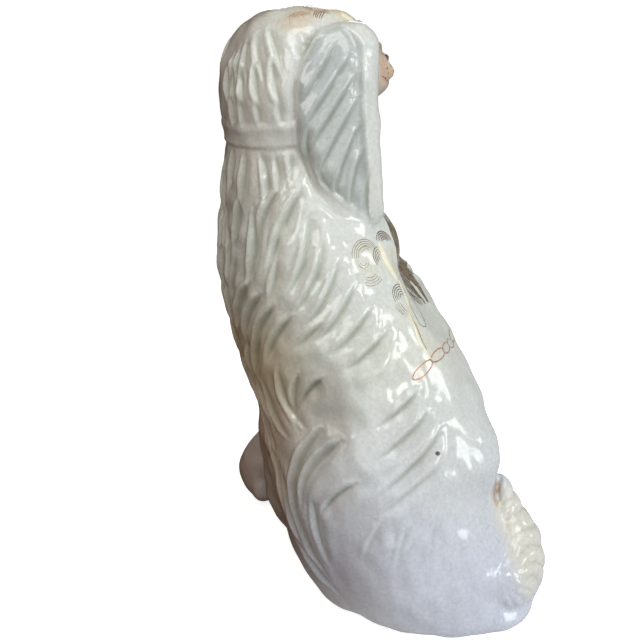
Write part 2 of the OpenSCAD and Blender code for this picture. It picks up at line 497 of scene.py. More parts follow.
# Edges of the display haunch and of the legs
FORM_LINES = [
    ([(-22, -62, 132), (6, -62, 122), (24, -64, 98), (28, -66, 66), (18, -68, 38), (4, -68, 26)], 2.2, 4.0),
    ([(52, -50, 128), (54, -52, 90), (56, -54, 50), (60, -52, 18)], 1.8, 3.6),
    ([(92, 6, 96), (92, 8, 50), (90, 10, 16)], 2.0, 4.0),
    ([(-60, -66, 24), (-30, -70, 18), (0, -70, 24), (20, -69, 26)], 1.4, 3.0)]
CROWN_FUR = [(k * 30 - 60, 312, 16, 10 * (-1) ** k, -14 * (-1) ** k, 1.0) for k in range(5)]
# Locks of an ear: start across and up it, length, leans, depth
EAR_FUR = [
    ((14, 309), 22, 50, 34, 1.3), ((6, 306), 38, 36, 48, 1.8), ((1, 299), 46, 42, 44, 1.8),
    ((0, 289), 50, 42, 42, 1.9), ((0, 278), 48, 40, 36, 1.9), ((0, 266), 46, 38, 18, 1.9),
    ((0, 254), 40, 32, 2, 1.9), ((-1, 242), 26, 20, -4, 1.6), ((27, 268), 22, 24, -8, 1.4),
    ((17, 242), 24, 8, -30, 1.6), ((25, 250), 22, 2, -34, 1.3)]
DEEP = 1.3  # the locks of the body are this much deeper and longer than their tiers say
LONGER = 1.25
EAR_DEEP = 1.15  # and those of the ears this much deeper
LOCK_WIDTH, EAR_LOCK_WIDTH = 2.6, 2.2


def locks_on(bvh, table, steep=1):
    out = []
    for angle, z, length, lean0, lean1, depth in table:
        p, n = skin_at(bvh, angle, z)
        if p is not None:
            pts, nos = run(bvh, p, n, length * LONGER, lean0, lean1)
            out.append((pts, nos, depth * DEEP, LOCK_WIDTH * (0.7 + 0.15 * depth), steep))
    return out


def ear_locks(bvh, side):
    out = []
    for (y, z), length, lean0, lean1, depth in EAR_FUR:
        at = Vector((SKULL_X * MM + side * 0.2, y * MM, z * MM))
        p, n = bvh.ray_cast(at, Vector((-side, 0, 0)))[:2]
        if p is not None:
            pts, nos = run(bvh, p, n, length, -side * lean0, -side * lean1)
            out.append((pts, nos, depth * EAR_DEEP, EAR_LOCK_WIDTH, -side))
    return out


def line_on(near, depth, width):
    """A pressed line through points and normals that were found on a surface."""
    return np.array([p for p, _ in near]), np.array([n for _, n in near]), depth, width, 0


def pressed_lines(bvh, lines):
    return [line_on([bvh.find_nearest(Vector(p) * MM)[:2] for p in spline(points, 14)], depth, width)
            for points, depth, width in lines]


def ear_creases(bvh):
    """The deep line round the rear edge of each ear, deepest at its top."""
    out = []
    for side in (-1, 1):
        near = []
        for z, _, rear, x in spline(EAR_ROWS, 40)[4:-3]:
            x = 2 * SKULL_X - x if side > 0 else x
            near.append(bvh.find_nearest(Vector((x, rear + 0.6, z)) * MM)[:2])
        out += [line_on(near, 1.5, 1.5), line_on(near[:6], 3.4, 3.4)]
    return out


def rise_above(bvh, co):
    """How far (mm) each point lies above the surface."""
    out = np.empty(len(co))
    for i, v in enumerate(co):
        p, n, _, d = bvh.find_nearest(v)
        out[i] = d if (Vector(v) - p).dot(n) >= 0 else -d
    return out / MM


BODY, SKIN = tree(body.data), tree(skin.data)
co, no = coords(skin.data), normals(skin.data)
EAR_FOOT = 200  # no ear hangs lower
high_z = co[:, 2] > EAR_FOOT * MM
over = np.zeros(len(co))
over[high_z] = rise_above(BODY, co[high_z])
on_body = 1 - smoothstep(1.0, 2.0, over)
body_locks = locks_on(BODY, BACK_FUR) + locks_on(BODY, DISPLAY_FUR, steep=-1) + locks_on(BODY, CHEST_FUR)
body_locks += locks_on(BODY, RIB_FUR, steep=-1) + locks_on(BODY, CROWN_FUR)
body_locks += pressed_lines(BODY, PAW_LINES + FORM_LINES) + ear_creases(BODY)
low, high, pool_and_shade = carve(co, body_locks)
low2, high2, pool_and_shade2 = carve(co, ear_locks(SKIN, -1) + ear_locks(SKIN, 1))
off = smoothstep(1.6, 3.0, over) * high_z
low, high, pool_and_shade = low * on_body + low2 * off, high * on_body + high2 * off, pool_and_shade * on_body + pool_and_shade2 * off

# The collar: a smooth band that stands a little proud, with a fine rim above it
BAND_RISE, RIM_RISE = 1.3, 0.5
z = co[:, 2] / MM


def ring_share(below, low_edge, high_edge, above):
    """1 on the collar's ring and 0 away from it; the edges are heights from its foot and from its top."""
    foot, top = COLLAR
    rising = smoothstep(foot + below, foot + low_edge, z)
    return rising * (1 - smoothstep(top + high_edge, top + above, z)) * on_body


band = ring_share(-1.2, 1.0, -1.0, 2.0)
rim = hill(z - COLLAR[1], 1.2, 1.0) * on_body
calm = ring_share(-4, -1, 0.5, 3)
low, high, pool_and_shade = low * (1 - calm), high * (1 - calm), pool_and_shade * (1 - calm)
shift = low + high + BAND_RISE * band + RIM_RISE * rim


def tail_curls(co):
    """Short combed curls across the tail that end in scallops on its outer edge (mm)."""
    y, z = co[:, 1] / MM + 24, co[:, 2] / MM - 34
    r = np.hypot(y, z)
    wave = np.arctan2(z, -y) * 11 + 0.10 * r + 0.9 * np.sin(r / 5)
    scallop = np.abs(np.sin(wave)) ** 0.6 - 0.6
    near = (co[:, 0] < -70 * MM) & (co[:, 1] < -20 * MM) & (co[:, 2] < 90 * MM)
    return scallop * near * smoothstep(9, 20, r) * smoothstep(8, 22, z + 34)


tail_zone = (co[:, 0] < -60 * MM) & (co[:, 1] < 0) & (co[:, 2] < 90 * MM)
above = np.zeros(len(co))
above[tail_zone] = rise_above(BODY, co[tail_zone])
curls = tail_curls(co) * smoothstep(0.5, 2.5, above)
CURL_RISE, UNEVEN = 1.3, 0.07
shift = shift * (1 - smoothstep(0.5, 2.0, above) * tail_zone) + CURL_RISE * curls
# The troughs of the tail curls pool the glaze too, darkened as painted shade
pool_and_shade = np.maximum(pool_and_shade, np.clip(-curls * 1.2, 0, 0.6))
# Long low waves, because the clay was pressed by hand
waves = [(rng.normal(size=3), rng.random() * 6.28, size) for size in (11, 14, 18, 24, 31) for _ in range(4)]
for way, phase, size in waves:
    shift += UNEVEN * np.sin((co @ (way / np.linalg.norm(way))) / MM * 6.28 / size + phase)
co = co + no * shift[:, None] * MM
RECESS = np.clip(pool_and_shade, 0, 1)


def facing(bvh, x, z):
    """Point and normal of the display side at x, z (mm), seen from the front."""
    return bvh.ray_cast(Vector((x, -200, z)) * MM, Vector((0, 1, 0)))[:2]


# The face: places are (to the dog's left of the middle of the skull, height)
EYE, BROW_Z, NOSE_Z, LIP_Z = (15.5, 303), 312, 291.5, 280
BOTH, ONCE = (-1, 1), (1,)
# What the thumb and the tool do to it: sides, place, reach, push
TOUCHES = [
    (BOTH, EYE, (8.5, 12, 6), (0, 2.4, 0)),  # sockets
    (BOTH, EYE, (4.6, 12, 3.6), (0, -2.6, 0)),  # eyeballs
    (BOTH, (13, BROW_Z), (11, 12, 4.5), (0, -2.2, 0.5)),  # brows
    (ONCE, (0, NOSE_Z + 6.5), (9, 12, 6), (0, -5.5, 2.0)),  # bridge
    (ONCE, (0, NOSE_Z), (5.5, 10, 4), (0, -2.4, 0.4)),  # nose
    (BOTH, (7.5, 284), (8, 12, 6.5), (0, -2.0, 0)),  # cheeks of the muzzle
    (ONCE, (0, 284.5), (2.0, 12, 4.5), (0, 1.4, 0)),  # split of the lip
]
HALF_MOUTH = [(-13.5, LIP_Z + 3), (-9, LIP_Z - 0.5), (-4, LIP_Z)]
MOUTH = HALF_MOUTH + [(0, LIP_Z + 1.5)] + [(-u, v) for u, v in HALF_MOUTH[::-1]]
LIP_DEPTH, LIP_WIDTH = 1.6, 1.1
for sides, (u, v), reach, push in TOUCHES:
    for side in sides:
        at = facing(SKIN, SKULL_X + side * u, v)[0] / MM
        co = brush(co, at, reach, push)
lips = [facing(SKIN, SKULL_X + u, v) for u, v in spline(MOUTH, 24)]
mouth_line = line_on(lips, LIP_DEPTH, LIP_WIDTH)
co = co + no * carve(co, [mouth_line])[0][:, None] * MM
co[:, 2] = np.maximum(co[:, 2], 0)
put(skin.data, co)
# The fluted part of the ears, behind their smooth band, which is darkened there as painted shade
heights, fronts, rears = (np.array([row[k] for row in EAR_ROWS[::-1]]) for k in range(3))
inset = np.interp(z, heights, fronts) + np.minimum(BAND, np.interp(z, heights, rears - fronts) / 2)
SHADED_FLUTES = off * smoothstep(-1, 2, co[:, 1] / MM - inset)

# Tint of the glaze at each height, which also paints light (darker, bluer low down; cream at the crown),
# painted shade of the ears' fluted part and of the lower back side
TINTS = [
    (0, (0.85, 0.87, 1.03)), (45, (0.85, 0.87, 1.03)), (90, (0.90, 0.92, 0.98)), (150, (0.945, 0.96, 0.91)),
    (210, (0.97, 0.99, 0.965)), (250, (0.985, 0.995, 0.985)), (300, (0.985, 0.99, 0.98)),
    (325, (1.0, 0.985, 0.92))]
# Painted shade of the ears' fluted part
FLUTE_SHADE = (0.73, 0.76, 0.77)
# Painted warm-brown shade and reflection of the lower back side
BROWN_SHADE_TINT = (0.90, 0.77, 0.63)
# Washes of thin colour over the glaze, and one of painted light on the tail: places, reach (mm), colour,
# strength
BLUSH = [(-73, -5, 140), (-69, -13, 143), (-64, -21, 146), (-57, -31, 146), (-50, -38, 145)]
WASHES = [
    ([(-42, -10, 189), (-46, -12, 183), (-38, -9, 196), (-52, -12, 172)], (5, 4, 5), (1.0, 0.86, 0.62), 0.5),
    (BLUSH, (8, 7, 6), (1.0, 0.84, 0.72), 0.45),
    ([(-57, -9, 168), (-60, -12, 160), (-63, -17, 153)], (4, 4, 6), (1.0, 0.88, 0.70), 0.5),
    ([(-47, 7, 200), (-44, 12, 190), (-50, 4, 196)], (14, 13, 14), (1.0, 0.97, 0.86), 0.5),
    ([(-12, 8, 322), (-16, 16, 320), (-20, 22, 318)], (11, 11, 10), (1.0, 0.84, 0.68), 0.7),
    ([(-17, -5, 320)], (9, 8, 9), (1.0, 0.92, 0.62), 0.8),
    # Painted light: the tail lifted to a lit cream, out of the darker tint low down
    ([(-102, -52, 40), (-93, -50, 56), (-108, -50, 26)], (21, 24, 24), (1.0, 0.955, 0.89), 0.9),
    ([(-79, -42, 66), (-84, -38, 60)], (4.5, 4, 8), (0.66, 0.42, 0.25), 0.75),
    ([(SKULL_X, -32, 286)], (25, 26, 20), (0.80, 0.55, 0.38), 0.95),
    ([(SKULL_X, -42, 288)], (17, 16, 10), (1.0, 0.82, 0.60), 0.7),
    ([(SKULL_X, -36, 300), (SKULL_X, -34, 273)], (18, 12, 8), (0.40, 0.27, 0.20), 0.75),
    ([(SKULL_X - 26, -16, 226), (SKULL_X + 26, -16, 226)], (12, 12, 22), (0.80, 0.60, 0.44), 0.5),
]


def paint(ob):
    """Point attributes: how deep the glaze is pooled and shaded, and the tint of the glaze with its painted
    washes and its painted light and shade.
    """
    me = ob.data
    me.attributes.new("recess", "FLOAT", "POINT").data.foreach_set("value", RECESS.astype(np.float32))
    me.attributes.new("own", "INT", "FACE").data.foreach_set("value", np.ones(len(me.polygons), np.int32))
    co = coords(me) / MM
    x, y, z = co.T
    # Height tint of the glaze, which also paints light and shade: darker and bluer low down, cream at the
    # crown
    levels = [level for level, _ in TINTS]
    tint = [np.interp(z, levels, [color[k] for _, color in TINTS]) for k in range(3)]
    wash_and_shade = np.stack(tint + [np.ones(len(co))], 1)
    # Painted shade on the fluted part of the ears
    wash_and_shade[:, :3] *= 1 - SHADED_FLUTES[:, None] * (1 - np.array(FLUTE_SHADE))
    # Painted warm-brown shade and reflection along the lower back side
    brown_shade = smoothstep(30, 62, y) * (1 - smoothstep(140, 190, z)) * smoothstep(-70, -30, x)
    wash_and_shade[:, :3] *= 1 - brown_shade[:, None] * (1 - np.array(BROWN_SHADE_TINT))
    for places, reach, color, strength in WASHES:
        for at in places:
            near = (np.abs(co - at) < np.array(reach)).all(1)
            d = np.sqrt((((co[near] - at) / np.array(reach)) ** 2).sum(1))
            w = strength * (1 - smoothstep(0.45, 1, d))
            wash_and_shade[near, :3] = wash_and_shade[near, :3] * (1 - w[:, None]) + np.array(color) * w[:, None]
    layer = me.attributes.new("wash_and_shade", "FLOAT_COLOR", "POINT")
    layer.data.foreach_set("color", wash_and_shade.astype(np.float32).ravel())


VENT_AT, VENT_OUT, VENT_R = (-92, -4, 103), (-0.94, -0.11, 0.31), 1.15
VENT_REACH = (-14, 12)  # ends of the pin, inwards and outwards


def vent_pin():
    """The firing vent, a round pin through the wall above the tail."""
    around = 20
    out = Vector(VENT_OUT).normalized()
    a = out.orthogonal().normalized()
    b = out.cross(a)
    at = Vector(VENT_AT) * MM
    verts = [at + out * d * MM + (a * cos(t) + b * sin(t)) * VENT_R * MM
             for d in VENT_REACH for t in circle(around)]
    return make("vent", verts, tube(len(VENT_REACH), around))


# ---- camera
def place_camera(azimuth, elevation, roll, distance, target, fov):
    """A camera that looks at the target; its angles are in degrees and azimuth 0 looks along +Y."""
    a, e, r = (radians(v) for v in (azimuth, elevation, roll))
    back = Vector((sin(a) * cos(e), -cos(a) * cos(e), sin(e)))
    right = (-back).cross(Vector((0, 0, 1))).normalized()
    up = right.cross(-back)
    right, up = right * cos(r) + up * sin(r), -right * sin(r) + up * cos(r)
    m = Matrix((right, up, back)).transposed().to_4x4()
    m.translation = Vector(target) * MM + back * distance * MM
    data = bpy.data.cameras.new("camera")
    data.sensor_fit = "HORIZONTAL"
    data.angle = radians(fov)
    data.clip_start, data.clip_end = 0.02, 20
    bpy.context.scene.camera = add("camera", data)
    bpy.context.scene.camera.matrix_world = m


place_camera(azimuth=253.5, elevation=20.7, roll=-7.2, distance=516, target=(7.8, 20.1, 150), fov=40)


# ---- the pieces
def envelope(ob, mm, base):
    """The space around ob, mm wide, that lies outside base."""
    new = grown(ob, "cutter", mm)
    cut(new, base, "DIFFERENCE")
    return new


def split(ob, cutter, name):
    """Takes the cutter's space out of ob and returns what was in it."""
    part = dup(ob, name)
    cut(part, cutter, "INTERSECT")
    cut(ob, cutter, "DIFFERENCE")
    return part


def heal(me):
    """Gives the points made by a cut the paint of their neighbours on the skin."""
    ends = edges(me)
    ends = np.vstack([ends, ends[:, ::-1]])
    wash_and_shade, recess = me.attributes["wash_and_shade"].data, me.attributes["recess"].data
    tone = np.column_stack([read(wash_and_shade, "color", 4), read(recess, "value", 1)])
    blank = (tone[:, 3] < 0.99) | (tone[:, :3] == 1).all(1)
    ends = ends[blank[ends[:, 0]] & ~blank[ends[:, 1]]]
    total, count = np.zeros(tone.shape), np.zeros(len(tone))
    np.add.at(total, ends[:, 0], tone[ends[:, 1]])
    np.add.at(count, ends[:, 0], 1)
    tone[count > 0] = total[count > 0] / count[count > 0, None]
    wash_and_shade.foreach_set("color", tone[:, :4].astype(np.float32).ravel())
    recess.foreach_set("value", tone[:, 4].astype(np.float32))


CRUMB = 40  # points; smaller islands are crumbs left by a cut
SHARP = 0.6  # radians between two faces of a cut


def tidy(ob):
    """Smooth shading with sharp edges at the joins, without loose crumbs."""
    me = ob.data
    lab = islands(me)
    count = np.bincount(lab, minlength=len(lab))
    crumbs = np.where(count[lab] < CRUMB)[0]
    bm = bmesh.new()
    if len(crumbs):
        bm.from_mesh(me)
        bm.verts.ensure_lookup_table()
        bmesh.ops.delete(bm, geom=[bm.verts[i] for i in crumbs], context="VERTS")
        bm.to_mesh(me)
        bm.clear()
    heal(me)
    me.polygons.foreach_set("use_smooth", [True] * len(me.polygons))
    own = read(me.attributes["own"].data, "value", 1, np.int32)[:, 0]
    bm.from_mesh(me)
    for e in bm.edges:
        if len(e.link_faces) == 2:
            a, b = (own[face.index] for face in e.link_faces)
            if a != b or not a and e.calc_face_angle() > SHARP:
                e.smooth = False
    bm.to_mesh(me)
    bm.free()
    me.attributes.remove(me.attributes["own"])


# How far a piece's share of the skin reaches round its form
SPRIG_SPACE, MUZZLE_SPACE, LIMB_SPACE = 2.5, 6.5, 3.0
COLLAR_DEPTH, COLLAR_EDGE = 2.4, 0.5
paint(skin)
ON = tree(skin.data)
body_out = grown(body, "body_out", 1.0)
trunk_out = grown(trunk, "trunk_out", 0.8)
pieces = {}
for name, form in {**ears, "tail": tail, "muzzle": muzzle}.items():
    space = MUZZLE_SPACE if name == "muzzle" else SPRIG_SPACE
    pieces[name] = split(skin, envelope(form, space, body_out), name)
for name in LIMBS:
    limb = pushed(remeshed(joined([name]), *LIMB_GRAIN))
    pieces[name] = split(skin, envelope(limb, LIMB_SPACE, trunk_out), name)
ring = block((-WIDE, -WIDE, COLLAR[0] - COLLAR_EDGE), (WIDE, WIDE, COLLAR[1] + COLLAR_EDGE))
cut(ring, grown(trunk, "ring_core", -COLLAR_DEPTH), "DIFFERENCE")
pieces["collar"] = split(skin, ring, "collar")
slab = baked(joined(["base_slab"]), ("WELD", dict(merge_threshold=2e-5)))
for cutter in (hollow, vent_pin(), slab):
    cut(skin, cutter, "DIFFERENCE")
head = split(skin, block((-WIDE, -WIDE, NECK_Z), (WIDE, WIDE, TALL)), "head")
far = block((-WIDE, SEAM_Y, BELOW), (WIDE, WIDE, TALL))
pieces["back_head_shell"] = split(head, far, "back_head_shell")
pieces["face_shell"] = head
pieces["back_body_shell"] = split(skin, far, "back_body_shell")
pieces["front_body_shell"] = skin
for name, ob in pieces.items():
    tidy(ob)
    ob.name = ob.data.name = name + "_form"


# ---- painted decoration
PROUD, BURIED = 0.09, 0.14  # how far enamel stands above the glaze and how far it reaches into it, mm


class Enamel:
    """Thin closed strips and spots that lie on the skin, gathered into one piece."""

    def __init__(self, name):
        self.name, self.verts, self.faces = name, [], []

    def grid(self, rows):
        """A closed tube of 4-point sections."""
        self.faces += tube(len(rows), 4, len(self.verts))
        self.verts += [p for row in rows for p in row]

    def stroke(self, points, width, snap=None, even=False):
        """A strip along points (mm), tapered at both ends unless it is even."""
        span = sum(dist(a, b) for a, b in zip(points, points[1:]))
        pts = spline(points, max(6, int(span / 0.9)))
        near = [(snap or ON.find_nearest)(Vector(p) * MM)[:2] for p in pts]
        rows = []
        for i, (p, n) in enumerate(near):
            t = near[min(i + 1, len(near) - 1)][0] - near[max(i - 1, 0)][0]
            side = t.cross(n)
            if side.length < 1e-9:
                continue
            f = i / (len(near) - 1)
            w = width / 2 * (1 if even else 0.25 + 0.75 * sin(pi * min(max(f, 0.02), 0.98)) ** 0.6)
            side = side.normalized() * w * MM
            rows.append((p - side - n * BURIED * MM, p + side - n * BURIED * MM,
                         p + side * 0.75 + n * PROUD * MM, p - side * 0.75 + n * PROUD * MM))
        if len(rows) > 2:
            self.grid(rows)

    def spot(self, at, rx, ry, snap=None, rise=1.0, turn=0.0):
        """A low oval lens."""
        p, right, up = surface_frame(at, snap)
        n, around = len(self.verts), 24
        rings = [(1.0, -BURIED * 2.5), (0.97, PROUD * 0.6 * rise), (0.6, PROUD * rise),
                 (0.0, PROUD * 1.15 * rise)]
        for r, h in rings:
            for a in (circle(around) if r else [0]):
                u, v = rx * r * cos(a), ry * r * sin(a)
                u, v = u * cos(turn) - v * sin(turn), u * sin(turn) + v * cos(turn)
                q, m = ON.find_nearest(p + (right * u + up * v) * MM)[:2]
                self.verts.append(q + m * h * MM)
        for k in range(2):
            for j in range(around):
                a, b = n + k * around + j, n + k * around + (j + 1) % around
                self.faces.append((a, b, b + around, a + around))
        top = n + 3 * around
        self.faces += [(n + 2 * around + j, n + 2 * around + (j + 1) % around, top) for j in range(around)]
        self.faces.append(tuple(n + j for j in range(around))[::-1])

    def arcs(self, at, radii, start, stop, width, squash=1.0, turn=0.0):
        """Nested arcs about a place on the skin; angles in degrees, from the right towards up."""
        p, right, up = surface_frame(at)
        t = radians(turn)
        for r in radii:
            points = []
            for a in np.radians(np.linspace(start, stop, 9)):
                u, v = r * cos(a), r * squash * sin(a)
                points.append((p + right * (u * cos(t) - v * sin(t)) * MM
                               + up * (u * sin(t) + v * cos(t)) * MM) / MM)
            self.stroke([tuple(q) for q in points], width)

    def comb(self, at, turn, length, count, pitch, bend, width=0.6, snap=None):
        """Combed strokes side by side, starting at a place and running at an angle, bent to one side."""
        p, right, up = surface_frame(at, snap)
        a = radians(turn)
        along, across = right * cos(a) + up * sin(a), up * cos(a) - right * sin(a)
        for i in range(count):
            c = i - (count - 1) / 2
            long = length * (1 - 0.10 * abs(c) / max(1, count / 2)) * (0.9 + 0.2 * rng.random())
            points = [tuple(p / MM + across * (c * pitch + bend * f * f) + along * (long * f))
                      for f in (0, 0.35, 0.7, 1)]
            self.stroke(points, width, snap)

    def made(self, material, slot):
        ob = closed(make(self.name, self.verts, self.faces))
        ob.data.materials.append(material)
        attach(ob, "root")


def surface_frame(at, snap=None):
    """A place on the skin, with the directions right and up along the surface as seen from outside."""
    p, n = (snap or ON.find_nearest)(Vector(at) * MM)[:2]
    right = Vector((0, 0, 1)).cross(n).normalized()
    return p, right, n.cross(right)


def front(p):
    """Straight back from the display side onto the face."""
    return ON.ray_cast(Vector((p[0], -0.2, p[2])), Vector((0, 1, 0)))


def face_point(u, v):
    return (SKULL_X + u, -30, v)


lustre, pale = Enamel("lustre_curls"), Enamel("pale_curls")
copper, gilt = Enamel("copper_chain"), Enamel("gilt_lines")
yellow, black = Enamel("yellow_strokes"), Enamel("black_enamel")
red, amber = Enamel("red_lip"), Enamel("amber_eyes")

# Curls on the shoulder below the right ear
FIRST, SECOND, THIRD = (-47, 7, 200), (-36, -7, 202), (-53, -8, 176)
pale.arcs(FIRST, (5.6, 6.8, 8.0, 9.2), 15, 172, 0.55)
pale.arcs(FIRST, (4.0, 5.1), 45, 135, 0.36)
lustre.arcs((-44, -2, 197), (1.8, 3.1, 4.4, 5.7), 75, 210, 0.6)
pale.arcs((-49, 8, 194), (5.0, 6.4, 7.8, 9.2), 232, 308, 0.45)
pale.arcs((-48, 10, 198), (2.2, 3.4), 190, 330, 0.5)
lustre.arcs(SECOND, (1.8, 3.0, 4.2, 5.4, 6.6), 10, 175, 0.85, 0.9, -20)
lustre.arcs(THIRD, (1.6, 2.8, 4.0, 5.2, 6.4), 30, 205, 0.62, 1.15, -30)
pale.comb((-56, -3, 174), -80, 8, 4, 1.2, 1.5, 0.5)
lustre.stroke([(-50, -10, 182), (-57, -16, 170), (-60, -17, 162), (-57, -22, 160), (-50, -26, 166),
               (-44, -26, 174)], 0.6)
lustre.stroke([(-57, -9, 169), (-61, -12, 161), (-64, -13, 154), (-66, -14, 149)], 0.6)
# Broad brushed patch on the shoulder that runs round to the display side
NEAR_EDGE = [(-20, -12, 210), (-28, -15, 202), (-34, -18, 193), (-36, -22, 184), (-35, -27, 174),
             (-34, -32, 164)]
FAR_EDGE = [(-6, -22, 210), (4, -30, 200), (12, -36, 188), (12, -39, 175), (2, -39, 165), (-20, -38, 157)]
STRANDS = 14
for k in range(STRANDS):
    near_share = 1 - k / (STRANDS - 1)
    line = near_share * np.array(NEAR_EDGE) + (1 - near_share) * np.array(FAR_EDGE)
    line = spline(line, 14)[k % 2:14 - (3 * k) % 4]
    lustre.stroke([tuple(p) for p in line], 5.6 - 0.8 * (k % 3))
yellow.stroke([(-38, -3, 203), (-42, -4, 196), (-46, -7, 189), (-48, -9, 184)], 4.4)
yellow.stroke([(-48, -12, 184), (-52, -13, 178), (-56, -12, 171)], 3.0)
yellow.stroke([(-58, -10, 170), (-63, -11, 160), (-66, -12, 152), (-70, -16, 145)], 2.2)
# Crown
copper.arcs((-20, 18, 322), (2.0, 3.3, 4.6, 5.9), 20, 170, 0.55)
copper.arcs((-18, 8, 323), (2.0, 3.3, 4.6, 5.9), -30, 130, 0.6)
for k in range(4):
    lustre.comb((-14 + 12 * k, 4 + 3 * (k % 2), 324), 200 - 35 * k, 10, 5, 1.1, 3, 0.5)
yellow.comb((-18, -5, 321), -60, 10, 2, 1.8, 1.0, 2.4)

# Chain from the flank round the display side up to the locket
CHAIN = [(-75, -1, 138.5), (-73, -5, 140), (-67, -18, 144), (-59, -30, 144), (-49, -40, 143), (-34, -54, 142),
         (-16, -64, 146), (2, -68, 152), (14, -66, 166), (19, -58, 184), (19, -50, 202), (17, -42, 218),
         (14, -36, 232), (13, -30, 240)]
LINKS, LINK_WIDTH, CHAIN_STEPS = 15, 2.6, 160
route = [ON.find_nearest(Vector(p) * MM) for p in spline(CHAIN, CHAIN_STEPS)]
reach = np.concatenate([[0], np.cumsum([(b[0] - a[0]).length for a, b in zip(route, route[1:])])])
for k in range(LINKS):
    i = int(np.searchsorted(reach, reach[-1] * (k + 0.5) / LINKS))
    p, n = route[i][:2]
    along = (route[min(i + 6, CHAIN_STEPS - 1)][0] - route[max(i - 6, 0)][0]).normalized()
    across = along.cross(n).normalized()
    long, wide = reach[-1] / LINKS * 0.53, LINK_WIDTH * MM
    loop = [p + along * long * cos(a) + across * wide * sin(a) for a in np.linspace(0, 2 * pi, 17)]
    copper.stroke([tuple(q / MM) for q in loop], 0.75, even=True)

# Display side: pairs of combed curls on the breast, the haunch and the flank, and lustred ears and tail
PAIRED_CURLS = [((34, -40, 206), -60), ((50, -32, 166), -75), ((-24, -68, 96), -50), ((6, -70, 66), -95),
                ((-52, -62, 66), -60)]
for at, turn in PAIRED_CURLS:
    at = np.array(at)
    for k in range(4):
        lustre.arcs(at, (2.2 + 1.4 * k,), 20, 160 + 8 * k, 0.6, 1.0, turn)
        lustre.arcs(at + (3, 0, -9), (2.0 + 1.4 * k,), 200 - 8 * k, 340, 0.6, 1.0, turn)
    lustre.comb(at + (-3, 0, -2), turn - 20, 13, 4, 1.5, 4, 0.8)
    yellow.comb(at + (1, 0, -3), turn, 10, 2, 2.0, 3, 1.5)
for side in (-1, 1):
    for k, z0 in enumerate((300, 284, 268, 252, 238)):
        at = (SKULL_X + side * (34 + 0.5 * k), -20, z0)
        lustre.comb(at, -90, 17, 5, 1.6, side * 3.0 * (-1) ** k, 0.9, front)
lustre.comb((-84, -66, 54), -120, 11, 5, 1.3, 3, 0.8)
lustre.comb((-92, -68, 36), -90, 11, 5, 1.3, -3, 0.8)

# Face
for side in (-1, 1):
    eye = face_point(side * EYE[0], EYE[1])
    amber.spot(eye, 3.0, 2.8, front, 2.0)
    black.spot(eye, 1.5, 1.5, front, 3.6)
    lid = [(-6.2, -0.6), (-3.4, 2.8), (0, 3.9), (3.4, 2.6), (6.0, -0.8)]
    low_lid = [(-6.0, -0.8), (-3.0, -2.6), (0, -3.2), (3.0, -2.6), (5.8, -0.9)]
    for edge, width in ((lid, 1.15), (low_lid, 0.7)):
        black.stroke([face_point(side * (EYE[0] + a), EYE[1] + b) for a, b in edge], width, front)
    for k in range(8):
        a = -7 + 2.0 * k
        black.stroke([face_point(side * (EYE[0] + a), BROW_Z - 2.4 - 0.06 * a * a),
                      face_point(side * (EYE[0] + a + 0.9), BROW_Z + 0.4 - 0.05 * a * a)], 0.6, front)
    for row in range(3):
        for k in range(3):
            black.spot(face_point(side * (5.5 + 3 * k), 287.5 - 2.6 * row - 0.5 * k), 0.55, 0.55, front, 1.0)
    black.spot(face_point(side * 2.6, NOSE_Z), 2.9, 2.5, front, 1.6, side * 0.35)
black.spot(face_point(0, NOSE_Z + 0.4), 3.4, 2.3, front, 1.6)
black.stroke([face_point(0, NOSE_Z - 2), face_point(0, LIP_Z + 1.5)], 0.7, front)
red.stroke([face_point(u, v) for u, v in MOUTH], 1.5, front)
for row in (262.0, 266.5):
    gilt.stroke([tuple(skin_at(BODY, a, row)[0] / MM) for a in range(232, 309, 4)], 0.9, even=True)


def locket_mesh():
    """A small oval locket with a raised rim, a domed face and a bail, sunk into the breast."""
    lo, hi = span("locket")
    middle = (lo + hi) / 2
    back = facing(ON, middle[0], middle[2])[0] / MM
    wide, tall = (hi[0] - lo[0]) / 2, (hi[2] - lo[2]) / 2
    rings = [(0, 2.6), (0.35, 2.5), (0.62, 2.0), (0.70, 1.7), (0.75, 2.2), (0.84, 2.6), (0.93, 2.2),
             (1.0, 1.0), (1.0, -5)]
    around, verts, faces = 48, [], []
    for r, h in rings:
        for a in (circle(around) if r else [0]):
            verts.append((back[0] + wide * r * cos(a), back[1] - h, back[2] + tall * r * sin(a)))
    faces += [(0, 1 + j, 1 + (j + 1) % around) for j in range(around)]
    for k in range(len(rings) - 2):
        a0 = 1 + k * around
        faces += [(a0 + j, a0 + around + j, a0 + around + (j + 1) % around, a0 + (j + 1) % around)
                  for j in range(around)]
    faces.append(tuple(1 + (len(rings) - 2) * around + j for j in range(around)))
    n, ring, tube_r, turns, round_it = len(verts), 2.3, 0.75, 24, 10
    for a in circle(turns):
        for b in circle(round_it):
            r = ring + tube_r * cos(b)
            verts.append((back[0] + r * cos(a), back[1] - 1.2 - tube_r * sin(b),
                          back[2] + tall + 1.2 + r * sin(a)))
    for i in range(turns):
        this, after = n + i * round_it, n + (i + 1) % turns * round_it
        faces += [(this + j, this + (j + 1) % round_it, after + (j + 1) % round_it, after + j)
                  for j in range(round_it)]
    return closed(make("locket_form", [np.array(v) * MM for v in verts], faces))


locket = locket_mesh()


